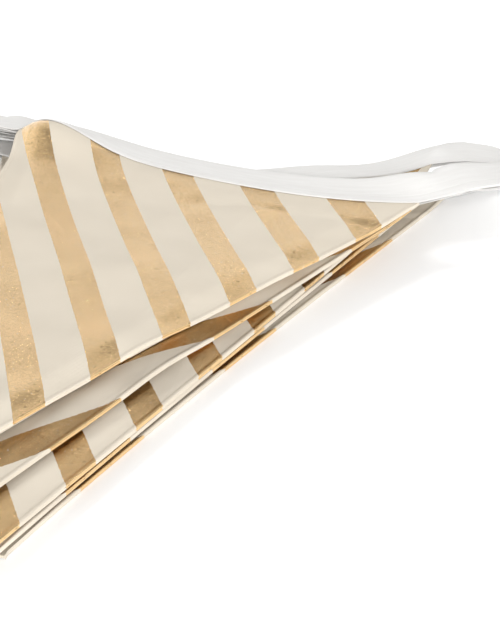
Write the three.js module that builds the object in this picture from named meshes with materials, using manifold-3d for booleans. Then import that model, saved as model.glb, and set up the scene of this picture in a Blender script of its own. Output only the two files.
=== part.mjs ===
// String of striped canvas pennants on a folded white cotton tape, folded back and forth
// so that six pennants lie in a loose, slightly fanned stack. Millimetres, +Z up.
import * as THREE from 'three';
import Module from 'manifold-3d';

const wasm = await Module();
wasm.setup();

// Driving dimensions of one pennant: two layers of canvas, sewn and turned.
const PENNANT_WIDTH = 200; // across the top, along the lower edge of the tape
const PENNANT_LENGTH = 300; // from the lower edge of the tape to the point
const TUCKED_IN = 15; // cloth that stands inside the folded tape
const CLOTH = 1.2; // both layers together
const RIM = 1.8; // the turned edge, where the seam allowances add up
const RIM_SHOULDER = 1.0; // round part of the rim
const RIM_BAND = 4.0; // the valley just inside the rim
const POINT_ROUND = 4.0; // the sewn point is blunt by this much
const RIM_DROOP = 1.5; // the free edges hang a little
const DROOP_BAND = 16; // width over which they do

// Driving dimensions of the tape: one strip, folded lengthwise over the pennants' tops.
const TAPE_WIDTH = 18; // folded width
const TAPE_LAYER = 1.0; // one leg of the folded strip
const CLEARANCE = 0.3; // between pennant and tape
const TAPE_ON_PENNANT = CLOTH + 2 * (CLEARANCE + TAPE_LAYER);
const TAPE_ALONE = 2 * TAPE_LAYER; // between two pennants the legs lie together
const LYING = TAPE_ALONE / 2 + 0.05; // middle of bare tape that lies on the surface
const PAST_CORNER = 2.5; // how far the legs stay apart beyond a pennant's corner
const LAYER_STEP = TAPE_ON_PENNANT + CLEARANCE; // height of one layer of the stack
const FLOOR_LEVEL = TAPE_ON_PENNANT / 2; // middle of the lowest tape
const LIE_FLAT = (TAPE_ON_PENNANT - RIM) / 2; // how far the lowest cloth drops to the surface

// How far down the cloth the tape's sag and its pull on a corner are felt.
const SAG_REACH = 90;
const HOOK_REACH = 35;

// The stack is built round the top pennant and then centred.
const PILE_CENTRE = { x: -22.278, y: -100.475 };

// One row for each pennant, from the top of the stack down. cornerX and cornerY place the
// right-hand corner at the tape's lower edge, turn swings the pennant round it in degrees,
// bow is how far the middle of the top edge sags towards the point, skew moves the deepest
// sag towards the right, hook is how far the tape pulls the corner back, and side is how
// far the free edges curve outwards.
const PENNANTS = [
  { cornerX: 100, cornerY: 0, turn: 0.03, bow: 11.9, skew: 0.64, hook: 0, side: -5.1 },
  { cornerX: 96.1, cornerY: 10.6, turn: 0.7, bow: 21.4, skew: -0.9, hook: 19.4, side: -5.5 },
  { cornerX: 97.3, cornerY: 28, turn: 4.95, bow: 18, skew: 0, hook: 0, side: -3 },
  { cornerX: 86.6, cornerY: 33, turn: 10.13, bow: 18, skew: 0, hook: 0, side: 0.5 },
  { cornerX: 89.4, cornerY: 43, turn: 9.86, bow: 18, skew: 0, hook: 0, side: -2.1 },
  { cornerX: 97.5, cornerY: 57.3, turn: 8.66, bow: 20, skew: 0, hook: 0, side: -3.8 },
];

// Soft swells of the cloth. Each lifts its layer and all above it: layer 0 is the lowest,
// x and y are its middle, alongX and alongY its reach, turn its direction in degrees.
const SWELLS = [
  { layer: 5, x: -84, y: -6, alongX: 30, alongY: 15, turn: 0, height: 10.6 },
  { layer: 5, x: -78, y: -60, alongX: 28, alongY: 48, turn: 0, height: 4.1 },
  { layer: 5, x: -30, y: 0, alongX: 40, alongY: 26, turn: -6, height: -0.3 },
  { layer: 5, x: 98, y: 4, alongX: 32, alongY: 14, turn: 0, height: 0.4 },
  { layer: 5, x: -104, y: -16, alongX: 12, alongY: 22, turn: 0, height: -9.7 },
  { layer: 5, x: -60, y: 20, alongX: 40, alongY: 9, turn: -10, height: -0.9 },
  { layer: 5, x: 98, y: 13.8, alongX: 24, alongY: 8, turn: 0, height: 5 },
  { layer: 5, x: 8, y: -108, alongX: 70, alongY: 15, turn: 22, height: 1.2 },
  { layer: 5, x: -34, y: -96, alongX: 52, alongY: 13, turn: -16, height: 1.3 },
  { layer: 5, x: 26, y: -160, alongX: 60, alongY: 12, turn: 24, height: 1.1 },
  { layer: 4, x: 112, y: 41.8, alongX: 36, alongY: 20.2, turn: 0, height: 16.4 },
  { layer: 4, x: 52.6, y: 18.3, alongX: 34, alongY: 13.7, turn: 0, height: 3.7 },
  { layer: 3, x: 36, y: -196, alongX: 20, alongY: 44, turn: -14, height: 0.6 },
  { layer: 3, x: 66, y: -110, alongX: 14, alongY: 40, turn: -14, height: 0.3 },
  { layer: 3, x: 52, y: -152, alongX: 20, alongY: 24, turn: -14, height: 2.2 },
  { layer: 4, x: 52, y: -152, alongX: 20, alongY: 24, turn: -14, height: -1.3 },
];

// Where the tape turns back beyond the corners, from each pennant to the next: points
// along the middle of the strip.
const TURNS = [
  [
    [107, 17, 28.5], [112.5, 23, 28.7], [118, 27.5, 28.6], [126.5, 34.6, 28],
    [136, 43.5, 27.5], [143, 51.5, 26.6], [146.5, 56, 23.8], [143.5, 54.5, 21.2],
    [137, 54.5, 21.6], [129, 56, 23.8], [121, 55.5, 26.8], [109.3, 50.1, 29], [102, 45, 30.3],
  ],
  [
    [-120, 15, 18.6], [-131, 16, 18.8], [-138, 17, 18.6], [-141, 18, 16.4],
    [-138, 19, 14.2], [-131, 20, 13.9], [-119, 20, 13.9],
  ],
  [
    [102, 43, 14.6], [107, 51, 14.6], [113, 59.5, 14.6], [119, 67.5, 14.4], [121.5, 71, 12.3],
    [119, 68.2, 10.3], [113, 62, 10], [105, 58, 10], [97, 53, 10], [91.5, 48, 10],
  ],
  [
    [-128, 4, 10.6], [-139, 3, 10.7], [-146, 3.5, 10.5], [-149, 6, 8.2],
    [-146, 9, 5.9], [-139, 11, 5.6], [-127, 14, 5.7],
  ],
  [
    [94, 59, 6.3], [98, 66, 6.5], [102, 73, 6.6], [107, 81, 6.5], [111, 87.5, 6.2],
    [113, 90.8, 4.2], [111, 88, 2.3], [107, 82.5, 1.6], [103, 78, 1.9], [100.5, 73, 1.9],
  ],
];

// The tape's two loose ends, which hang down to the surface and lie on it.
const FIRST_END = [
  [-196, -24, 1], [-184, -21, 1], [-172, -18, 1.6], [-163, -14.5, 9],
  [-153, -10.5, 16.5], [-141, -6, 21], [-127, -1, 23.6], [-114, 3.5, 25.2], [-108, 6, 26.2],
];
const LAST_END = [[-116, 34, 1.4], [-131, 31, 1], [-146, 29, 1], [-160, 28, 1]];

// Steps of the meshes.
const COLUMNS = [-0.9, -0.8, -0.64, -0.43, -0.21, 0, 0.21, 0.43, 0.64, 0.8, 0.9];
const ROWS = 21;
const STEPS_PER_POINT = 2;

const degrees = (angle) => (angle * Math.PI) / 180;
const lerp = THREE.MathUtils.lerp;
const smooth = (value, start, end) => THREE.MathUtils.smoothstep(value, start, end);

// Half the width of a pennant, b below the tape's lower edge; it is straight inside the tape.
const halfWidth = (b) => (PENNANT_WIDTH / 2) * (1 - Math.max(b, 0) / PENNANT_LENGTH);

// The string runs to the right along the first pennant, to the left along the next.
const heading = (index) => (index % 2 === 0 ? 1 : -1);

// A point of a pennant in plan: a along the tape from its middle, b down towards the point.
function inPlan(pennant, a, b) {
  const along = (2 * a) / PENNANT_WIDTH;
  const down = Math.max(b, 0);
  const deepest = (1 - along * along) * (1 + pennant.skew * along);
  const sag = pennant.bow * deepest * Math.exp(-down / SAG_REACH);
  const pulled = pennant.hook * Math.max(0, along) ** 2 * Math.exp(-down / HOOK_REACH);
  const belly = 4 * (down / PENNANT_LENGTH) * (1 - down / PENNANT_LENGTH);
  const outwards = THREE.MathUtils.clamp(a / Math.max(halfWidth(down), 1), -1, 1);
  const x = a + pennant.side * belly * outwards - PENNANT_WIDTH / 2;
  const y = -b - sag + pulled;
  const turn = degrees(pennant.turn);
  return {
    x: pennant.cornerX + x * Math.cos(turn) - y * Math.sin(turn),
    y: pennant.cornerY + x * Math.sin(turn) + y * Math.cos(turn),
  };
}

// How much the swells of one layer lift it at a point of the plan.
function swellAt(layer, x, y) {
  let lift = 0;
  for (const swell of SWELLS) {
    if (swell.layer !== layer) continue;
    const turn = degrees(swell.turn);
    const dx = x - swell.x;
    const dy = y - swell.y;
    const u = (dx * Math.cos(turn) + dy * Math.sin(turn)) / swell.alongX;
    const v = (-dx * Math.sin(turn) + dy * Math.cos(turn)) / swell.alongY;
    lift += swell.height * Math.exp(-u * u - v * v);
  }
  return lift;
}

// A point of the middle of a pennant's cloth. Each layer lies on the swells of those below.
function onCloth(index, a, b) {
  const pennant = PENNANTS[index];
  const layer = PENNANTS.length - 1 - index;
  const { x, y } = inPlan(pennant, a, b);
  let z = FLOOR_LEVEL + layer * LAYER_STEP;
  for (let below = 0; below <= layer; below += 1) z += swellAt(below, x, y);
  const fromEdge = Math.max(0, halfWidth(b) - Math.abs(a));
  const free = smooth(b, 4, 30) * (1 - smooth(fromEdge, 0, DROOP_BAND));
  if (layer > 0) z -= RIM_DROOP * free;
  else z -= LIE_FLAT * smooth(b, 1, 14);
  return new THREE.Vector3(x, y, z);
}

// Joins rows of points, each a closed ring of the same count, into one closed body.
function loft(rings) {
  const count = rings[0].length;
  const vertices = rings.flat();
  const triangles = [];
  for (let i = 0; i < rings.length - 1; i += 1) {
    for (let j = 0; j < count; j += 1) {
      const a = i * count + j;
      const b = i * count + ((j + 1) % count);
      triangles.push(a, b, b + count, a, b + count, a + count);
    }
  }
  const last = (rings.length - 1) * count;
  for (let j = 0; 2 * j < count - 2; j += 1) {
    const k = count - 1 - j;
    triangles.push(j, k, j + 1);
    triangles.push(last + j, last + j + 1, last + k);
    if (k - 1 > j + 1) {
      triangles.push(j + 1, k, k - 1);
      triangles.push(last + j + 1, last + k - 1, last + k);
    }
  }
  return { vertices, triangles };
}

// A solid from such a body, turned inside out where its faces point inwards.
function toSolid({ vertices, triangles }) {
  const build = (order) => {
    const faces = [];
    for (let i = 0; i < triangles.length; i += 3) {
      faces.push(...order.map((k) => triangles[i + k]));
    }
    const mesh = new wasm.Mesh({
      numProp: 3,
      vertProperties: new Float32Array(vertices.flatMap((p) => [p.x, p.y, p.z])),
      triVerts: new Uint32Array(faces),
    });
    return new wasm.Manifold(mesh);
  };
  const solid = build([0, 1, 2]);
  return solid.volume() > 0 ? solid : build([0, 2, 1]);
}

function toGeometry(solid) {
  const mesh = solid.getMesh();
  const geometry = new THREE.BufferGeometry();
  geometry.setAttribute('position', new THREE.BufferAttribute(mesh.vertProperties, 3));
  geometry.setIndex(new THREE.BufferAttribute(mesh.triVerts, 1));
  geometry.computeVertexNormals();
  return geometry;
}

// One closed slab on a pennant's cloth. Each row runs along the top face and back below.
// spread widens it past the pennant's own edges, and halfThickness gives its thickness
// for a row and for the distance from the edge.
function slabOnCloth(index, rows, spread, halfThickness) {
  const rings = rows.map((b) => {
    const half = Math.max(halfWidth(b), POINT_ROUND / 2);
    const insets = [RIM_SHOULDER, RIM_BAND].map((inset) => Math.min(inset, half * 0.4));
    const inner = half - insets[1];
    const places = [-half + insets[0], -half + insets[1]];
    for (const column of COLUMNS) places.push(column * inner);
    places.push(half - insets[1], half - insets[0]);
    const row = places.map((a) => {
      const point = onCloth(index, a, b);
      const fromEdge = half - Math.abs(a);
      return { point, thick: halfThickness(b, fromEdge) };
    });
    const lifted = ({ point, thick }, side) => point.clone().setZ(point.z + side * thick);
    return [
      onCloth(index, -half - spread, b),
      ...row.map((entry) => lifted(entry, 1)),
      onCloth(index, half + spread, b),
      ...row.reverse().map((entry) => lifted(entry, -1)),
    ];
  });
  return toSolid(loft(rings));
}

// Two layers of canvas with a thicker turned rim, flat and thin inside the tape.
function makePennant(index) {
  const rows = [-TUCKED_IN, -TUCKED_IN / 2, 0, 6, 12];
  const first = 24;
  const end = PENNANT_LENGTH - POINT_ROUND;
  for (let i = 0; i < ROWS; i += 1) rows.push(lerp(first, end, i / (ROWS - 1)));
  const thickness = (b, fromEdge) => {
    const rim = smooth(b, 1, 8) * (fromEdge < RIM_BAND - 0.5 ? 1 : 0);
    return lerp(CLOTH, RIM, rim) / 2;
  };
  return slabOnCloth(index, rows, 0, thickness);
}

// The slot that a pennant's top edge stands in.
function makeSlot(index) {
  const half = CLOTH / 2 + CLEARANCE;
  const rows = [-TUCKED_IN - CLEARANCE, -TUCKED_IN / 2, 0, 4];
  return slabOnCloth(index, rows, 1.2, () => half);
}

// One ring of the tape: seven points round its section, from the open edge over the front
// leg to the fold and back. up points out of the front leg.
function tapeRing(open, middle, shoulder, fold, up, half) {
  const front = up.clone().multiplyScalar(half);
  return [
    open.clone().add(front),
    middle.clone().add(front),
    shoulder.clone().add(front),
    fold.clone(),
    shoulder.clone().sub(front),
    middle.clone().sub(front),
    open.clone().sub(front),
  ];
}

// The tape along one pennant's top, in the direction that the string runs.
function tapeOnPennant(index) {
  const up = new THREE.Vector3(0, 0, heading(index));
  const inner = halfWidth(0) - RIM_BAND;
  const outer = halfWidth(0) + PAST_CORNER;
  const places = COLUMNS.map((column) => column * inner);
  const rings = [-outer, -inner, ...places, inner, outer].map((a) =>
    tapeRing(
      onCloth(index, a, 0),
      onCloth(index, a, -TUCKED_IN / 2),
      onCloth(index, a, -TUCKED_IN),
      onCloth(index, a, -TAPE_WIDTH),
      up,
      TAPE_ON_PENNANT / 2,
    ),
  );
  return heading(index) > 0 ? rings : rings.reverse();
}

// The middle of a ring and the direction from its fold to its open edge.
function ringFrame(ring) {
  const open = ring[0].clone().add(ring[6]).multiplyScalar(0.5);
  const fold = ring[3].clone();
  return { middle: open.clone().add(fold).multiplyScalar(0.5), side: open.clone().sub(fold).normalize() };
}

// Rings of the bare tape along a path, its open edge turning from each of sides to the next.
// The path's first and last stretches only steer it, as many as lead and trail say.
function tapeAlongPath(points, sides, lead, trail) {
  const curve = new THREE.CatmullRomCurve3(points, false, 'centripetal');
  const steps = (points.length - 1) * STEPS_PER_POINT;
  const first = lead > 0 ? lead * STEPS_PER_POINT + 1 : 0;
  const last = trail > 0 ? steps - trail * STEPS_PER_POINT - 1 : steps;
  const rings = [];
  for (let i = first; i <= last; i += 1) {
    const t = i / steps;
    const centre = curve.getPoint(t);
    centre.z = Math.max(centre.z, LYING);
    const ahead = curve.getTangent(t);
    const turned = t * (sides.length - 1);
    const from = Math.min(Math.floor(turned), sides.length - 2);
    const wanted = sides[from].clone().lerp(sides[from + 1], smooth(turned - from, 0, 1));
    const up = wanted.clone().cross(ahead).normalize();
    const side = ahead.clone().cross(up).normalize();
    const at = (distance) => centre.clone().addScaledVector(side, distance);
    const halfTape = TAPE_WIDTH / 2;
    rings.push(
      tapeRing(
        at(halfTape),
        at(halfTape - TUCKED_IN / 2),
        at(halfTape - TUCKED_IN),
        at(-halfTape),
        up,
        TAPE_ALONE / 2,
      ),
    );
  }
  return rings;
}

// The whole tape: a loose end, six pennants' tops with five turns between, a loose end.
function makeTape() {
  const runs = PENNANTS.map((pennant, index) => tapeOnPennant(index));
  const vectors = (list) => list.map(([x, y, z]) => new THREE.Vector3(x, y, z));
  const level = new THREE.Vector3(0.12, -1, 0).normalize();
  const entering = (run) => [ringFrame(run[0]), ringFrame(run[1])];
  const leaving = (run) => [ringFrame(run[run.length - 2]), ringFrame(run[run.length - 1])];
  const middles = (frames) => frames.map((frame) => frame.middle);
  const entry = entering(runs[0]);
  const firstPath = [...vectors(FIRST_END), ...middles(entry)];
  const rings = tapeAlongPath(firstPath, [level, entry[0].side], 0, 1);
  runs.forEach((run, index) => {
    rings.push(...run);
    const leave = leaving(run);
    if (index === runs.length - 1) {
      const lastPath = [...middles(leave), ...vectors(LAST_END)];
      rings.push(...tapeAlongPath(lastPath, [leave[1].side, level], 1, 0));
      return;
    }
    const arrive = entering(runs[index + 1]);
    const points = vectors(TURNS[index]);
    const path = [...middles(leave), ...points, ...middles(arrive)];
    const out = points[Math.floor(points.length / 2)].clone().sub(leave[1].middle);
    const across = new THREE.Vector3(out.y, -out.x, 0).multiplyScalar(heading(index)).normalize();
    rings.push(...tapeAlongPath(path, [leave[1].side, across, arrive[0].side], 1, 1));
  });
  let tape = toSolid(loft(rings));
  PENNANTS.forEach((pennant, index) => {
    tape = tape.subtract(makeSlot(index));
  });
  return tape;
}

const canvas = () =>
  new THREE.MeshStandardMaterial({ color: 0xe6ddcf, roughness: 0.9, metalness: 0 });
const cottonTape = new THREE.MeshStandardMaterial({ color: 0xecebe8, roughness: 0.85, metalness: 0 });

const bunting = new THREE.Group();
const pile = new THREE.Group();
pile.position.set(-PILE_CENTRE.x, -PILE_CENTRE.y, 0);
bunting.add(pile);

PENNANTS.forEach((pennant, index) => {
  const mesh = new THREE.Mesh(toGeometry(makePennant(index)), canvas());
  mesh.name = `pennant_${index + 1}`;
  pile.add(mesh);
});

const tapeMesh = new THREE.Mesh(toGeometry(makeTape()), cottonTape);
tapeMesh.name = 'tape';
pile.add(tapeMesh);

export default bunting;
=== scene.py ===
import math
from functools import partial

import bpy
import numpy as np
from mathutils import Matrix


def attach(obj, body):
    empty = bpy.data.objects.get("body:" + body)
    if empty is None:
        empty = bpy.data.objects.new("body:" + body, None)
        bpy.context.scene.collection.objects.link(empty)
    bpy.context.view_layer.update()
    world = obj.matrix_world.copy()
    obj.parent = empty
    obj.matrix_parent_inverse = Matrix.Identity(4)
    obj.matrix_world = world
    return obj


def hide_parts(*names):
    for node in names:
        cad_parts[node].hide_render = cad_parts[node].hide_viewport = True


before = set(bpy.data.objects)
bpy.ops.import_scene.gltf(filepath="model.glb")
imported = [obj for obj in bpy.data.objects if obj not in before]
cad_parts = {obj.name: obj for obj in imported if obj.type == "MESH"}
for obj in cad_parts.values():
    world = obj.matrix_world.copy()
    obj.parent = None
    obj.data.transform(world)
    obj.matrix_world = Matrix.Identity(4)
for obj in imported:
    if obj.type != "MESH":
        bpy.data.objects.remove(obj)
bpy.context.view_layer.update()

# The camera stands in front of the folded string and to its right, about half a metre
# away, and looks down at the tapes' end of the stack, as a small product picture is taken.
CAMERA_PLACE = (0.27163, -0.43308, 0.2846)
CAMERA_DOWN = math.radians(29.89)
CAMERA_TURN = math.radians(23.23)
LONG_SIDE_PX = 625
FOCAL_PX = 1400
SENSOR_MM = 36

camera_lens = bpy.data.cameras.new("camera")
camera_lens.sensor_fit = "AUTO"
camera_lens.sensor_width = SENSOR_MM
camera_lens.lens = FOCAL_PX / LONG_SIDE_PX * SENSOR_MM
camera_lens.clip_start = 0.01
camera = bpy.data.objects.new("camera", camera_lens)
camera.location = CAMERA_PLACE
camera.rotation_euler = (math.pi / 2 - CAMERA_DOWN, 0, CAMERA_TURN)
bpy.context.scene.collection.objects.link(camera)
bpy.context.scene.camera = camera


# The floor is a plain white board, matt and lit a little from below, so that only the
# stack's own soft shadow shows on it.
def linear(value):
    value = value / 255
    return value / 12.92 if value <= 0.04045 else ((value + 0.055) / 1.055) ** 2.4


def colour(code):
    return tuple(linear(int(code[i:i + 2], 16)) for i in (1, 3, 5)) + (1,)


def add_node(owner, kind, *values, inputs=None, **settings):
    """A node of that kind in a material or a world, with its settings and links.

    The values go into its first inputs in turn, and inputs names others. Each is a number, a
    colour, a socket, or another node, whose first output is linked.
    """
    node = owner.node_tree.nodes.new("ShaderNode" + kind)
    for key, value in settings.items():
        setattr(node, key, value)
    for key, value in [*enumerate(values), *(inputs or {}).items()]:
        if isinstance(value, bpy.types.Node):
            value = value.outputs[0]
        if isinstance(value, bpy.types.NodeSocket):
            owner.node_tree.links.new(value, node.inputs[key])
        else:
            node.inputs[key].default_value = value
    return node


def new_material(name):
    material = bpy.data.materials.new(name)
    material.use_nodes = True
    material.node_tree.nodes.clear()
    return material


FLOOR_SIZE = 8.0
FLOOR_DROP = 0.0002
LIT_FROM_BELOW = 0.1


# Matt white acrylic board: no gloss at all, so it gives the eye only a plain white.
def lit_white_board():
    material = new_material("lit_white_board")
    shader = add_node(
        material,
        "BsdfPrincipled",
        inputs={
            "Base Color": colour("#FBFBFB"),
            "Roughness": 1.0,
            "Specular IOR Level": 0.0,
            "Emission Color": colour("#FFFFFF"),
            "Emission Strength": LIT_FROM_BELOW,
        },
    )
    add_node(material, "OutputMaterial", inputs={"Surface": shader})
    return material


bpy.ops.object.select_all(action="DESELECT")
bpy.ops.mesh.primitive_plane_add(size=FLOOR_SIZE, location=(0, 0, -FLOOR_DROP))
floor = bpy.context.object
floor.name = "floor"
floor.data.materials.append(lit_white_board())

# Soft studio light: white walls, a darker ceiling, one soft box behind the stack on the left
# and a wide low one at the front right. The foil mirrors the walls and the ceiling, whose
# edges are given here as the sine of their angle above the horizon.
WALL_LIGHT = 1.22
CEILING_LIGHT = 0.36
WALL_TOP = 0.5
CEILING_START = 0.72
world = bpy.data.worlds.new("studio")
world.use_nodes = True
direction = add_node(world, "TexCoord").outputs["Generated"]
height = add_node(world, "SeparateXYZ", direction).outputs["Z"]
room_light = add_node(
    world,
    "MapRange",
    interpolation_type="SMOOTHSTEP",
    inputs={
        "Value": height,
        "From Min": WALL_TOP,
        "From Max": CEILING_START,
        "To Min": WALL_LIGHT,
        "To Max": CEILING_LIGHT,
    },
)
background = world.node_tree.nodes["Background"]
background.inputs["Color"].default_value = (1, 1, 1, 1)
world.node_tree.links.new(room_light.outputs["Result"], background.inputs["Strength"])
bpy.context.scene.world = world


def soft_box(name, place, size, watts):
    """A square lamp that faces the origin and isn't mirrored in the foil."""
    lamp = bpy.data.lights.new(name, "AREA")
    lamp.shape = "SQUARE"
    lamp.size = size
    lamp.energy = watts
    stand = bpy.data.objects.new(name, lamp)
    stand.location = place
    stand.rotation_euler = (
        math.atan2(math.hypot(place[0], place[1]), place[2]),
        0,
        math.atan2(-place[1], -place[0]) - math.pi / 2,
    )
    stand.visible_glossy = False
    bpy.context.scene.collection.objects.link(stand)


soft_box("soft_box", place=(-1.3, 1.25, 2.0), size=0.8, watts=34)

# A small bare lamp high behind the stack gives the foil its glints, and hardly any light.
GLINT_PLACE = (-0.3, 0.7, 1.63)
GLINT_RADIUS = 0.03
GLINT_WATTS = 2.4
glint = bpy.data.lights.new("glint_lamp", "POINT")
glint.shadow_soft_size = GLINT_RADIUS
glint.energy = GLINT_WATTS
glint_stand = bpy.data.objects.new("glint_lamp", glint)
glint_stand.location = GLINT_PLACE
bpy.context.scene.collection.objects.link(glint_stand)

soft_box("front_fill", place=(0.95, -1.35, 0.55), size=1.2, watts=30)

bpy.context.scene.view_settings.view_transform = "Standard"
bpy.context.scene.view_settings.look = "None"

# Each pennant is two layers of natural cotton canvas with slanting stripes of gold foil,
# sewn face to face, turned and pressed, so its two long edges are thick rounded rims. Its
# top edge is raw and stands inside the tape. They lie on each other as they were folded.
MM = 0.001
PENNANT_WIDTH = 200
PENNANT_LENGTH = 300
TUCKED_IN = 15
POINT_ROUND = 4
CANVAS_HALF = 0.55
STACK_CENTRE = (-22.278, -100.475)
LAYER_STEP = 4.1
FLOOR_LEVEL = 1.9
LIE_FLAT = 1.0
LIE_FLAT_OVER = (1, 14)
RIM_DROOP = 1.5
DROOP_BAND = 16
DROOP_OVER = (4, 30)
SAG_REACH = 90
HOOK_REACH = 35
# Where each pennant lies, from the top one down: its right-hand corner on the table, its turn
# in degrees, how its top edge sags, leans and hooks up, and how far its sides bow out.
PLACE_NAMES = ("corner_x", "corner_y", "turn", "bow", "skew", "hook", "side")
PLACES = [
    (100, 0, 0.03, 11.9, 0.64, 0, -5.1),
    (96.1, 10.6, 0.7, 21.4, -0.9, 19.4, -5.5),
    (97.3, 28, 4.95, 18, 0, 0, -3),
    (86.6, 33, 10.13, 18, 0, 0, 0.5),
    (89.4, 43, 9.86, 18, 0, 0, -2.1),
    (97.5, 57.3, 8.66, 20, 0, 0, -3.8),
]
# Swells of the cloth: layer, x, y, reach along, reach across, turn in degrees, height.
SWELLS = [
    (5, -84, -6, 30, 15, 0, 10.6),
    (5, -78, -60, 28, 48, 0, 4.1),
    (5, -30, 0, 40, 26, -6, -0.3),
    (5, 98, 4, 32, 14, 0, 0.4),
    (5, -104, -16, 12, 22, 0, -9.7),
    (5, -60, 20, 40, 9, -10, -0.9),
    (5, 98, 13.8, 24, 8, 0, 5),
    (5, 8, -108, 70, 15, 22, 1.2),
    (5, -34, -96, 52, 13, -16, 1.3),
    (5, 26, -160, 60, 12, 24, 1.1),
    (4, 112, 41.8, 36, 20.2, 0, 16.4),
    (4, 52.6, 18.3, 34, 13.7, 0, 3.7),
    (3, 36, -196, 20, 44, -14, 0.6),
    (3, 66, -110, 14, 40, -14, 0.3),
    (3, 52, -152, 20, 24, -14, 2.2),
    (4, 52, -152, 20, 24, -14, -1.3),
]


def step_between(value, start, end):
    t = np.clip((value - start) / (end - start), 0, 1)
    return t * t * (3 - 2 * t)


def half_width(b):
    """Half the pennant's width, b below the tape; the part inside the tape is straight."""
    return PENNANT_WIDTH / 2 * (1 - np.maximum(b, 0) / PENNANT_LENGTH)


def in_plan(place, a, b):
    """Where the point a along the tape and b below it lies on the table, in millimetres."""
    along = 2 * a / PENNANT_WIDTH
    down = np.maximum(b, 0)
    deepest = (1 - along * along) * (1 + place["skew"] * along)
    sag = place["bow"] * deepest * np.exp(-down / SAG_REACH)
    pulled = place["hook"] * np.maximum(0, along) ** 2 * np.exp(-down / HOOK_REACH)
    share = down / PENNANT_LENGTH
    outwards = np.clip(a / np.maximum(half_width(down), 1), -1, 1)
    x = a + place["side"] * 4 * share * (1 - share) * outwards - PENNANT_WIDTH / 2
    y = -b - sag + pulled
    turn = math.radians(place["turn"])
    return (
        place["corner_x"] + x * math.cos(turn) - y * math.sin(turn),
        place["corner_y"] + x * math.sin(turn) + y * math.cos(turn),
    )


def swell_height(layer, x, y):
    height = 0 * x
    for own, at_x, at_y, reach_x, reach_y, turn, lift in SWELLS:
        if own != layer:
            continue
        turn = math.radians(turn)
        u = ((x - at_x) * math.cos(turn) + (y - at_y) * math.sin(turn)) / reach_x
        v = (-(x - at_x) * math.sin(turn) + (y - at_y) * math.cos(turn)) / reach_y
        height = height + lift * np.exp(-u * u - v * v)
    return height


def on_cloth(number, a, b):
    """Points of the middle of pennant number's cloth, as an array with x, y, z last."""
    place = dict(zip(PLACE_NAMES, PLACES[number]))
    layer = len(PLACES) - 1 - number
    a, b = np.broadcast_arrays(np.asarray(a, float), np.asarray(b, float))
    x, y = in_plan(place, a, b)
    z = FLOOR_LEVEL + layer * LAYER_STEP + 0 * x
    for below in range(layer + 1):
        z = z + swell_height(below, x, y)
    from_edge = np.maximum(0, half_width(b) - np.abs(a))
    free = step_between(b, *DROOP_OVER) * (1 - step_between(from_edge, 0, DROOP_BAND))
    if layer:
        z = z - RIM_DROOP * free
    else:
        z = z - LIE_FLAT * step_between(b, *LIE_FLAT_OVER)
    return np.stack([x, y, z], -1)


def cloth_normal(number, a, b):
    reach = 0.5
    across = on_cloth(number, a + reach, b) - on_cloth(number, a - reach, b)
    down = on_cloth(number, a, b + reach) - on_cloth(number, a, b - reach)
    normal = np.cross(down, across)
    return normal / np.linalg.norm(normal, axis=-1, keepdims=True)


def to_frame(points):
    """Millimetres round the stack's own origin to metres in the frame."""
    points = np.array(points, float)
    points[..., 0] -= STACK_CENTRE[0]
    points[..., 1] -= STACK_CENTRE[1]
    return points * MM


SMOOTH_UP_TO = math.radians(60)


def skin_object(name, rings, uv_rings, end_faces):
    """A closed skin over rows of ring points, with a UV map given point by point."""
    count = len(rings[0])
    points = [tuple(p) for ring in rings for p in ring]
    chart = [tuple(p) for ring in uv_rings for p in ring]
    faces = []
    for i in range(len(rings) - 1):
        for j in range(count):
            k = (j + 1) % count
            faces.append((i * count + j, i * count + k, (i + 1) * count + k, (i + 1) * count + j))
    last = (len(rings) - 1) * count
    for face in end_faces(count):
        faces.append(tuple(reversed(face)))
        faces.append(tuple(last + j for j in face))
    mesh = bpy.data.meshes.new(name)
    mesh.from_pydata(points, [], faces)
    uv = mesh.uv_layers.new(name="cut")
    for loop in mesh.loops:
        uv.data[loop.index].uv = chart[loop.vertex_index]
    piece = bpy.data.objects.new(name, mesh)
    bpy.context.scene.collection.objects.link(piece)
    bpy.ops.object.select_all(action="DESELECT")
    piece.select_set(True)
    bpy.context.view_layer.objects.active = piece
    bpy.ops.object.mode_set(mode="EDIT")
    bpy.ops.mesh.select_all(action="SELECT")
    bpy.ops.mesh.normals_make_consistent(inside=False)
    bpy.ops.object.mode_set(mode="OBJECT")
    bpy.ops.object.shade_smooth_by_angle(angle=SMOOTH_UP_TO)
    return piece


def flat_end(count):
    """Faces that close a ring whose second half runs back under its first."""
    half = count // 2
    faces = [(0, 1, count - 1), (half - 1, half, half + 1)]
    faces += [(j, j + 1, count - j - 1, count - j) for j in range(1, half - 1)]
    return faces


# The rim in section: how far in from the edge, and half the thickness there. The seam
# allowances fill the first two millimetres, the seam between the two layers is a groove
# round the very edge, and the pressed cloth dips just inside the rim.
RIM_SECTION = [
    (0.1, 0.34), (0.08, 0.62), (0.42, 0.88), (0.95, 0.95), (1.4, 0.88), (1.8, 0.7),
    (2.15, 0.48), (2.6, 0.45), (3.2, 0.55), (4.4, CANVAS_HALF),
]
SEAM_INSET = 0.5
ROUND_THE_SEAM = 0.3
RIM_GROWS_OVER = (1, 6)
RIM_SHARE_OF_HALF = 0.42
TOP_ROWS = [-TUCKED_IN, -TUCKED_IN / 2, -1, 0, 1.2]
FIRST_EVEN_ROW = 2.5
CLOTH_COLUMNS = 46
CLOTH_ROWS = 130
CHART_UNIT = 100


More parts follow.
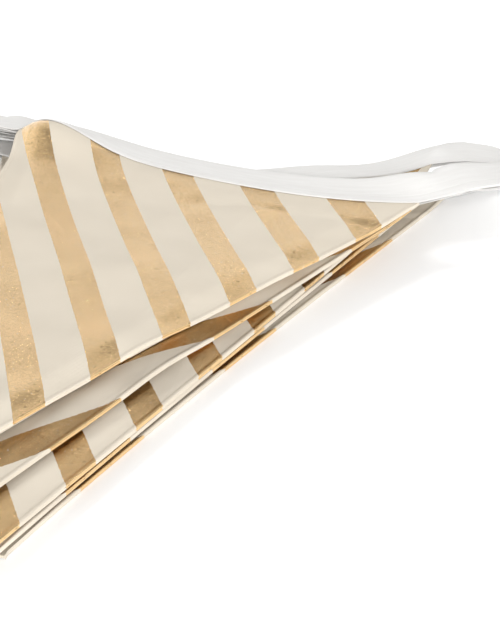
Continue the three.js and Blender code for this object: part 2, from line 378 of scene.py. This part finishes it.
def pennant_rings(number):
    """Rings round the cloth from its raw edge to its point, and their places on the cut."""
    even_rows = np.linspace(FIRST_EVEN_ROW, PENNANT_LENGTH - POINT_ROUND, CLOTH_ROWS)
    rows = TOP_ROWS + list(even_rows)
    rings = []
    charts = []
    for b in rows:
        half = max(half_width(b), POINT_ROUND / 2)
        shrink = min(1.0, half * RIM_SHARE_OF_HALF / RIM_SECTION[-1][0])
        rim = step_between(b, *RIM_GROWS_OVER)
        left = [-half + inset * shrink for inset, _ in RIM_SECTION]
        thick = [
            CANVAS_HALF + (depth - CANVAS_HALF) * rim if inset > ROUND_THE_SEAM else depth
            for inset, depth in RIM_SECTION
        ]
        inner = np.linspace(left[-1], -left[-1], CLOTH_COLUMNS)[1:-1]
        a = np.array(left + list(inner) + [-x for x in reversed(left)])
        halves = np.array(thick + [CANVAS_HALF] * len(inner) + list(reversed(thick)))
        middle = on_cloth(number, a, b)
        normal = cloth_normal(number, a, b)
        top = middle + normal * halves[:, None]
        under = middle - normal * halves[:, None]
        seam = half - SEAM_INSET * rim * shrink
        edge_left = on_cloth(number, -seam, b)
        edge_right = on_cloth(number, seam, b)
        ring = np.vstack([edge_left[None], top, edge_right[None], under[::-1]])
        spots = np.concatenate([[-half], a, [half], a[::-1]])
        rings.append(to_frame(ring))
        charts.append([(x / CHART_UNIT, b / CHART_UNIT) for x in spots])
    return rings, charts


# Natural cotton canvas: a plain weave that repeats every 0.6 mm, with slubs about 1 mm long
# and faint blotches. The foil lies on the threads, so it glitters, and its edges are a
# little ragged.
WEAVE_PITCH = 0.62
WEAVE_SHARE = 0.5
WEAVE_STRENGTH = 0.45
WEAVE_DEPTH = 0.0002
SLUBS_PER_MM = 0.9
BLOTCHES_PER_MM = 0.03
STRIPE_PITCH = 30.68
STRIPE_WIDTH = 12.6
STRIPE_BEND = 5.8
STRIPE_BEND_REACH = 39
STRIPES_BEFORE = 20.0
RAGGED_BY = 1.1
WORN_BELOW = 0.30

# The long slope below the tape: where it starts and ends down the cloth, and how much each
# moves with the place across the cloth. The rim sinks between two distances from the edge.
SLOPE_START = 8.0
SLOPE_START_LEAN = 0.1
SLOPE_END = 36.0
SLOPE_END_LEAN = -0.45
SHORTEST_SLOPE = 8.0
SLOPE_STEEP = 0.17
RIM_SINK = 1.5
RIM_SINK_FROM = 3.0
RIM_SINK_TO = 15.0
UNEVEN_PITCH = 34
UNEVEN_RISE = 4.5

# The foil breaks up into small facets over the threads. They are drawn 0.8 mm apart, a
# little coarser than the weave, so that they show. Most are firm, and the rest lean more.
FACET_PITCH = 0.8
FIRM_FACETS = 0.89
FIRM_LEAN = 0.07
LOOSE_LEAN = 0.55


def striped_canvas(name, slant, phase, way):
    """Cream cotton, matt and dry to the eye, with stripes of bright gold foil."""
    material = new_material(name)
    node = partial(add_node, material)
    chart = node("UVMap", uv_map="cut")
    parts = node("SeparateXYZ", chart)
    across = node("Math", parts.outputs["X"], CHART_UNIT, operation="MULTIPLY")
    down = node("Math", parts.outputs["Y"], CHART_UNIT, operation="MULTIPLY")

    # The weave: two sets of threads at right angles, each going over and under.
    warp = node("Math", across, 2 * math.pi / WEAVE_PITCH, operation="MULTIPLY")
    warp = node("Math", warp, operation="SINE")
    weft = node("Math", down, 2 * math.pi / WEAVE_PITCH, operation="MULTIPLY")
    weft = node("Math", weft, operation="SINE")
    weave = node("Math", warp, weft, operation="MULTIPLY")
    slub = node(
        "TexNoise",
        noise_dimensions="3D",
        inputs={
            "Vector": chart,
            "Scale": SLUBS_PER_MM * CHART_UNIT,
            "Detail": 3.0,
            "Roughness": 0.6,
        },
    )
    blotch = node(
        "TexNoise",
        noise_dimensions="3D",
        inputs={"Vector": chart, "Scale": BLOTCHES_PER_MM * CHART_UNIT, "Detail": 3.0},
    )

    # The stripes run slantwise down the pennant, towards its right edge or its left one.
    slant = math.radians(slant)
    from_corner = node("Math", across, way, operation="MULTIPLY")
    from_corner = node("Math", PENNANT_WIDTH / 2, from_corner, operation="SUBTRACT")
    sideways = node("Math", from_corner, math.cos(slant), operation="MULTIPLY")
    downwards = node("Math", down, math.sin(slant), operation="MULTIPLY")
    run = node("Math", sideways, downwards, operation="ADD")
    bent = node("Math", down, -STRIPE_BEND_REACH, operation="DIVIDE")
    bent = node("Math", bent, operation="EXPONENT")
    bent = node("Math", bent, STRIPE_BEND, operation="MULTIPLY")
    run = node("Math", run, bent, operation="ADD")
    ragged = node("Math", slub, 0.5, operation="SUBTRACT")
    ragged = node("Math", ragged, RAGGED_BY, operation="MULTIPLY")
    run = node("Math", run, ragged, operation="ADD")
    turns = node("Math", run, phase, operation="SUBTRACT")
    turns = node("Math", turns, STRIPE_PITCH, operation="DIVIDE")
    turns = node("Math", turns, STRIPES_BEFORE, operation="ADD")
    turned = node("Math", turns, operation="FRACT")
    foil = node("Math", turned, 1 - STRIPE_WIDTH / STRIPE_PITCH, operation="GREATER_THAN")
    worn = node("Math", slub, WORN_BELOW, operation="GREATER_THAN")
    foil = node("Math", foil, worn, operation="MULTIPLY")

    # The cloth sinks away from the tape in one long slope, sinks again at its rim, and is
    # nowhere quite even. The foil shows this, because it mirrors the room.
    start = node("Math", across, SLOPE_START_LEAN, SLOPE_START, operation="MULTIPLY_ADD")
    soonest_end = node("Math", start, SHORTEST_SLOPE, operation="ADD")
    end = node("Math", across, SLOPE_END_LEAN, SLOPE_END, operation="MULTIPLY_ADD")
    end = node("Math", end, soonest_end, operation="MAXIMUM")
    reach = node("Math", end, start, operation="SUBTRACT")
    sunk = node(
        "MapRange",
        interpolation_type="SMOOTHSTEP",
        inputs={"Value": down, "From Min": start, "From Max": end},
    )
    sunk = node("Math", sunk, reach, operation="MULTIPLY")
    half = node("Math", down, -PENNANT_WIDTH / 2 / PENNANT_LENGTH, operation="MULTIPLY")
    half = node("Math", half, PENNANT_WIDTH / 2, operation="ADD")
    from_middle = node("Math", across, operation="ABSOLUTE")
    from_rim = node("Math", half, from_middle, operation="SUBTRACT")
    rim_rise = node(
        "MapRange",
        interpolation_type="SMOOTHSTEP",
        inputs={
            "Value": from_rim,
            "From Min": RIM_SINK_FROM,
            "From Max": RIM_SINK_TO,
            "To Max": RIM_SINK,
        },
    )
    uneven = node(
        "TexNoise",
        noise_dimensions="3D",
        inputs={"Vector": chart, "Scale": CHART_UNIT / UNEVEN_PITCH, "Detail": 1.0},
    )
    uneven = node("Math", uneven, UNEVEN_RISE, operation="MULTIPLY")
    lie = node("Math", sunk, -SLOPE_STEEP, operation="MULTIPLY")
    lie = node("Math", lie, rim_rise, operation="ADD")
    lie = node("Math", lie, uneven, operation="ADD")
    waved = node("Bump", inputs={"Strength": 1.0, "Distance": MM, "Height": lie})
    threads = node("Math", weave, WEAVE_SHARE, operation="MULTIPLY")
    threads = node("Math", threads, slub, operation="ADD")
    bump = node(
        "Bump",
        inputs={
            "Strength": WEAVE_STRENGTH,
            "Distance": WEAVE_DEPTH,
            "Height": threads,
            "Normal": waved,
        },
    )
    tint = node(
        "Mix",
        blotch,
        data_type="RGBA",
        inputs={6: colour("#D1C8B9"), 7: colour("#CAC0B0")},
    )
    cotton = node(
        "BsdfPrincipled",
        inputs={
            "Base Color": tint.outputs[2],
            "Roughness": 0.92,
            "Specular IOR Level": 0.2,
            "Normal": bump,
        },
    )

    # About one facet in nine is loose, and leans far enough to catch the lamp.
    facets = node(
        "TexVoronoi",
        feature="F1",
        inputs={"Vector": chart, "Scale": CHART_UNIT / FACET_PITCH},
    ).outputs["Color"]
    loose = node("SeparateXYZ", facets).outputs["Z"]
    loose = node("Math", loose, FIRM_FACETS, operation="GREATER_THAN")
    lean_by = node("Math", loose, LOOSE_LEAN, FIRM_LEAN, operation="MULTIPLY_ADD")
    lean = node("VectorMath", facets, (0.5, 0.5, 0.5), operation="SUBTRACT")
    lean = node("VectorMath", lean, operation="SCALE", inputs={"Scale": lean_by})
    facing = node("VectorMath", bump, lean, operation="ADD")
    facing = node("VectorMath", facing, operation="NORMALIZE")
    gold = node(
        "BsdfPrincipled",
        inputs={
            "Base Color": colour("#EFCB95"),
            "Metallic": 1.0,
            "Roughness": 0.2,
            "Coat Weight": 0.3,
            "Coat Roughness": 0.35,
            "Normal": facing,
        },
    )
    both = node("MixShader", foil, cotton, gold)
    node("OutputMaterial", inputs={"Surface": both})
    return material


# Each pennant's stripes: their slant, where the first one ends, and which way they run.
STRIPES = [
    (40, 4.9, 1),
    (36, 11, -1),
    (38.4, 25, -1),
    (33, 15.7, 1),
    (38.4, 1.3, -1),
    (38.4, 3.8, -1),
]
for number, (slant, phase, way) in enumerate(STRIPES):
    name = f"canvas_pennant_{number + 1}"
    rings, charts = pennant_rings(number)
    pennant = skin_object(name, rings, charts, flat_end)
    pennant.data.materials.append(striped_canvas(f"striped_canvas_{number + 1}", slant, phase, way))
    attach(pennant, "root")
    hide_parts(f"pennant_{number + 1}")

# The tape is one strip of white cotton 36 mm wide, folded lengthwise over the pennants'
# raw top edges and sewn along its open edge. Between two pennants it turns back on itself,
# and at both ends it is a short loose tail.
TAPE_WIDTH = 18
TAPE_LEG = 0.55
GAP_ON_CANVAS = 0.72
GAP_ALONE = 0.06
TURNS = [
    [
        (107, 17, 28.5), (112.5, 23, 28.7), (118, 27.5, 28.6), (126.5, 34.6, 28),
        (136, 43.5, 27.5), (143, 51.5, 26.6), (146.5, 56, 23.8), (143.5, 54.5, 21.2),
        (137, 54.5, 21.6), (129, 56, 23.8), (121, 55.5, 26.8), (109.3, 50.1, 29), (102, 45, 30.3),
    ],
    [
        (-120, 15, 18.6), (-131, 16, 18.8), (-138, 17, 18.6), (-141, 18, 16.4),
        (-138, 19, 14.2), (-131, 20, 13.9), (-119, 20, 13.9),
    ],
    [
        (102, 43, 14.6), (107, 51, 14.6), (113, 59.5, 14.6), (119, 67.5, 14.4),
        (121.5, 71, 12.3), (119, 68.2, 10.3), (113, 62, 10), (105, 58, 10), (97, 53, 10),
        (91.5, 48, 10),
    ],
    [
        (-128, 4, 10.6), (-139, 3, 10.7), (-146, 3.5, 10.5), (-149, 6, 8.2),
        (-146, 9, 5.9), (-139, 11, 5.6), (-127, 14, 5.7),
    ],
    [
        (94, 59, 6.3), (98, 66, 6.5), (102, 73, 6.6), (107, 81, 6.5), (111, 87.5, 6.2),
        (113, 90.8, 4.2), (111, 88, 2.3), (107, 82.5, 1.6), (103, 78, 1.9), (100.5, 73, 1.9),
    ],
]
FIRST_END = [
    (-196, -24, 1.2), (-184, -21, 1.2), (-172, -18, 1.7), (-163, -14.5, 9),
    (-153, -10.5, 16.5), (-141, -6, 21), (-127, -1, 23.6), (-114, 3.5, 25.2), (-108, 6, 26.2),
]
LAST_END = [(-116, 34, 1.4), (-131, 31, 1.2), (-146, 29, 1.2), (-160, 28, 1.2)]
PAST_CORNER = 2.5
CLOSING_FROM = 0.3
PIECES_PER_SPAN = 5
STEPS_ON_PENNANT = 84


def unit(vector):
    return vector / np.linalg.norm(vector)


def smooth_path(points):
    """A smooth curve through the points, as places and directions."""
    points = np.array(points, float)
    padded = np.vstack([2 * points[0] - points[1], points, 2 * points[-1] - points[-2]])
    places = []
    for i in range(len(points) - 1):
        p0, p1, p2, p3 = padded[i:i + 4]
        gaps = [max(np.linalg.norm(q - p) ** 0.5, 1e-6) for p, q in ((p0, p1), (p1, p2), (p2, p3))]
        m1 = (p1 - p0) / gaps[0] - (p2 - p0) / (gaps[0] + gaps[1]) + (p2 - p1) / gaps[1]
        m2 = (p2 - p1) / gaps[1] - (p3 - p1) / (gaps[1] + gaps[2]) + (p3 - p2) / gaps[2]
        m1, m2 = m1 * gaps[1], m2 * gaps[1]
        last = i == len(points) - 2
        for t in np.linspace(0, 1, PIECES_PER_SPAN + 1)[: None if last else -1]:
            places.append(
                p1 * (2 * t**3 - 3 * t**2 + 1) + m1 * (t**3 - 2 * t**2 + t)
                + p2 * (-2 * t**3 + 3 * t**2) + m2 * (t**3 - t**2)
            )
    places = np.array(places)
    ahead = np.gradient(places, axis=0)
    return places, ahead / np.linalg.norm(ahead, axis=1, keepdims=True)


# The folded strip in section: shares of the width from the open edge to the fold, and how
# far out the outer skin stands there.
TAPE_SHARES = [0.0, 0.02, 0.08, 0.2, 0.35, 0.5, 0.65, 0.78, 0.88, 0.95]
TAPE_SOFTNESS = [0.8, 1, 1, 1, 1, 1, 1, 0.98, 0.92, 0.78]
FOLD_SOFTNESS = 0.38
INSIDE_FOLD = 0.2


def tape_section(gap, open_at, fold_at, up, line):
    """Ring of points round the folded strip: the outer skin, then back inside it."""
    outer = gap + TAPE_LEG
    places = list(zip(line, TAPE_SOFTNESS))
    points = [place + up * outer * softness for place, softness in places]
    points.append(fold_at + up * outer * FOLD_SOFTNESS)
    points.append(fold_at - up * outer * FOLD_SOFTNESS)
    points += [place - up * outer * softness for place, softness in reversed(places)]
    points += [place - up * gap for place in line[:-2]]
    points.append(fold_at + unit(open_at - fold_at) * (TAPE_LEG + INSIDE_FOLD))
    points += [place + up * gap for place in reversed(line[:-2])]
    return points


def tape_on_pennant(number):
    """Stations of the tape along one pennant: half gap, open edge, fold, way out, line."""
    outer = PENNANT_WIDTH / 2 + PAST_CORNER
    stations = []
    for a in np.linspace(-outer, outer, STEPS_ON_PENNANT + 1):
        inside = 1 - step_between(abs(a), PENNANT_WIDTH / 2 + CLOSING_FROM, outer)
        gap = GAP_ALONE + (GAP_ON_CANVAS - GAP_ALONE) * inside
        line = [on_cloth(number, a, -TAPE_WIDTH * share) for share in TAPE_SHARES]
        up = cloth_normal(number, np.array(a), np.array(-TAPE_WIDTH / 2))
        if number % 2:
            up = -up
        stations.append((gap, line[0], on_cloth(number, a, -TAPE_WIDTH), up, line))
    if number % 2:
        stations.reverse()
    return stations


def tape_between(points, sides, lead, trail):
    """Stations of the bare tape; its open edge turns from each of sides to the next."""
    places, aheads = smooth_path(points)
    first = lead * PIECES_PER_SPAN + 1 if lead else 0
    last = len(places) - 1 - trail * PIECES_PER_SPAN - (1 if trail else 0)
    stations = []
    for i in range(first, last + 1):
        turned = i / (len(places) - 1) * (len(sides) - 1)
        start = min(int(turned), len(sides) - 2)
        share = turned - start
        share = share * share * (3 - 2 * share)
        wanted = unit(sides[start] * (1 - share) + sides[start + 1] * share)
        up = unit(np.cross(wanted, aheads[i]))
        side = np.cross(aheads[i], up)
        open_at = places[i] + side * TAPE_WIDTH / 2
        fold_at = places[i] - side * TAPE_WIDTH / 2
        line = [open_at + (fold_at - open_at) * share for share in TAPE_SHARES]
        stations.append((GAP_ALONE, open_at, fold_at, up, line))
    return stations


def middle_of(station):
    """Half way between the tape's open edge and its fold."""
    return (station[1] + station[2]) / 2


def side_of(station):
    """The direction from the tape's fold to its open edge."""
    return unit(station[1] - station[2])


runs = [tape_on_pennant(number) for number in range(len(PLACES))]
STEER = 7
END_SIDE = (0.12, -1, 0)
level_side = unit(np.array(END_SIDE))
enter = runs[0]
stations = tape_between(
    FIRST_END + [middle_of(enter[0]), middle_of(enter[STEER])],
    [level_side, side_of(enter[0])],
    lead=0,
    trail=1,
)
for number, run in enumerate(runs):
    stations = stations + run
    leave = [middle_of(run[-1 - STEER]), middle_of(run[-1])]
    if number == len(runs) - 1:
        last_sides = [side_of(run[-1]), level_side]
        stations = stations + tape_between(leave + LAST_END, last_sides, lead=1, trail=0)
        break
    arrive = runs[number + 1]
    out = np.array(TURNS[number][len(TURNS[number]) // 2]) - leave[1]
    across = unit(np.array([out[1], -out[0], 0])) * (-1 if number % 2 else 1)
    stations = stations + tape_between(
        leave + TURNS[number] + [middle_of(arrive[0]), middle_of(arrive[STEER])],
        [side_of(run[-1]), across, side_of(arrive[0])],
        lead=1,
        trail=1,
    )

# Where the tape leaves a corner it turns sideways, and its pucker there is eased out.
EASING_REACH = 9
EASING_ROUNDS = 30
BARE_BELOW = 0.1
EASED_BELOW = 0.3
gaps = np.array([station[0] for station in stations])
joints = [i for i in range(1, len(gaps)) if (gaps[i] > BARE_BELOW) != (gaps[i - 1] > BARE_BELOW)]
eased = {
    i
    for joint in joints
    for i in range(joint - EASING_REACH, joint + EASING_REACH)
    if 0 < i < len(gaps) - 1 and gaps[i] < EASED_BELOW
}
shapes = np.array([[open_at, fold_at, up, *line] for _, open_at, fold_at, up, line in stations])
for _ in range(EASING_ROUNDS):
    middle = (shapes[:-2] + shapes[2:]) / 2
    for i in eased:
        shapes[i] = (shapes[i] + middle[i - 1]) / 2

# The two legs close up slowly beyond the cloth's corner.
CLOSING_ROUNDS = 60
closing = gaps.copy()
for _ in range(CLOSING_ROUNDS):
    closing[1:-1] = (closing[:-2] + 2 * closing[1:-1] + closing[2:]) / 4
    closing = np.maximum(closing, gaps)

rings = []
charts = []
travelled = 0.0
before = None
across_leg = [TAPE_WIDTH * share / CHART_UNIT for share in TAPE_SHARES]
across_fold = [TAPE_WIDTH / CHART_UNIT]
across_ring = across_leg + across_fold * 2 + across_leg[::-1]
across_ring += across_leg[:-2] + across_fold + across_leg[:-2][::-1]
for gap, (open_at, fold_at, up, *line) in zip(closing, shapes):
    ring = np.array(tape_section(gap, open_at, fold_at, unit(up), line))
    ring[:, 2] = np.maximum(ring[:, 2], 0.0)
    centre = (open_at + fold_at) / 2
    if before is not None:
        travelled += np.linalg.norm(centre - before)
    before = centre
    rings.append(to_frame(ring))
    charts.append([(travelled / CHART_UNIT, across) for across in across_ring])
tape = skin_object("folded_tape", rings, charts, lambda count: [tuple(range(count))])


# White cotton tape: a firm close weave, a little glossier than the canvas, slightly
# streaked along its length, with one row of small stitches near its open edge.
TAPE_WEAVE_PITCH = 0.5
TAPE_WEAVE_SHARE = 0.4
TAPE_STRENGTH = 0.35
TAPE_DEPTH = 0.0002
STREAKS_PER_MM_ALONG = 0.06
STREAKS_PER_MM_ACROSS = 0.6
STREAK_RISE = 1.6
STITCH_LINE = 4.4
STITCH_GROOVE = 0.45
STITCH_PITCH = 2.6
STITCH_RISE = 0.35
GROOVE_DEPTH = 1.2


def cotton_tape():
    """Bright white cotton, matt, with fine lengthwise streaks that catch the light."""
    material = new_material("white_cotton_tape")
    node = partial(add_node, material)
    chart = node("UVMap", uv_map="cut")
    parts = node("SeparateXYZ", chart)
    along = node("Math", parts.outputs["X"], CHART_UNIT, operation="MULTIPLY")
    across = node("Math", parts.outputs["Y"], CHART_UNIT, operation="MULTIPLY")
    warp = node("Math", across, 2 * math.pi / TAPE_WEAVE_PITCH, operation="MULTIPLY")
    warp = node("Math", warp, operation="SINE")
    weft = node("Math", along, 2 * math.pi / TAPE_WEAVE_PITCH, operation="MULTIPLY")
    weft = node("Math", weft, operation="SINE")
    weave = node("Math", warp, weft, operation="MULTIPLY")
    weave = node("Math", weave, TAPE_WEAVE_SHARE, operation="MULTIPLY")
    stretch = (STREAKS_PER_MM_ALONG * CHART_UNIT, STREAKS_PER_MM_ACROSS * CHART_UNIT, 1.0)
    stretched = node("Mapping", inputs={"Vector": chart, "Scale": stretch})
    streak = node("TexNoise", inputs={"Vector": stretched, "Scale": 1.0, "Detail": 3.0})
    streak_rise = node("Math", streak, STREAK_RISE, operation="MULTIPLY")
    height = node("Math", weave, streak_rise, operation="ADD")

    # The row of stitches draws the tape in along one line, a little more at each stitch.
    off_line = node("Math", across, STITCH_LINE, operation="SUBTRACT")
    off_line = node("Math", off_line, STITCH_GROOVE, operation="DIVIDE")
    groove = node("Math", off_line, off_line, operation="MULTIPLY")
    groove = node("Math", groove, -1.0, operation="MULTIPLY")
    groove = node("Math", groove, operation="EXPONENT")
    stitch = node("Math", along, 2 * math.pi / STITCH_PITCH, operation="MULTIPLY")
    stitch = node("Math", stitch, operation="SINE")
    stitch = node("Math", stitch, STITCH_RISE, GROOVE_DEPTH, operation="MULTIPLY_ADD")
    groove = node("Math", groove, stitch, operation="MULTIPLY")
    height = node("Math", height, groove, operation="SUBTRACT")
    bump = node(
        "Bump",
        inputs={"Strength": TAPE_STRENGTH, "Distance": TAPE_DEPTH, "Height": height},
    )
    tint = node(
        "Mix",
        streak,
        data_type="RGBA",
        inputs={6: colour("#DAD9D7"), 7: colour("#CDCBC8")},
    )
    shader = node(
        "BsdfPrincipled",
        inputs={
            "Base Color": tint.outputs[2],
            "Roughness": 0.85,
            "Specular IOR Level": 0.25,
            "Normal": bump,
        },
    )
    node("OutputMaterial", inputs={"Surface": shader})
    return material


tape.data.materials.append(cotton_tape())
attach(tape, "root")
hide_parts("tape")
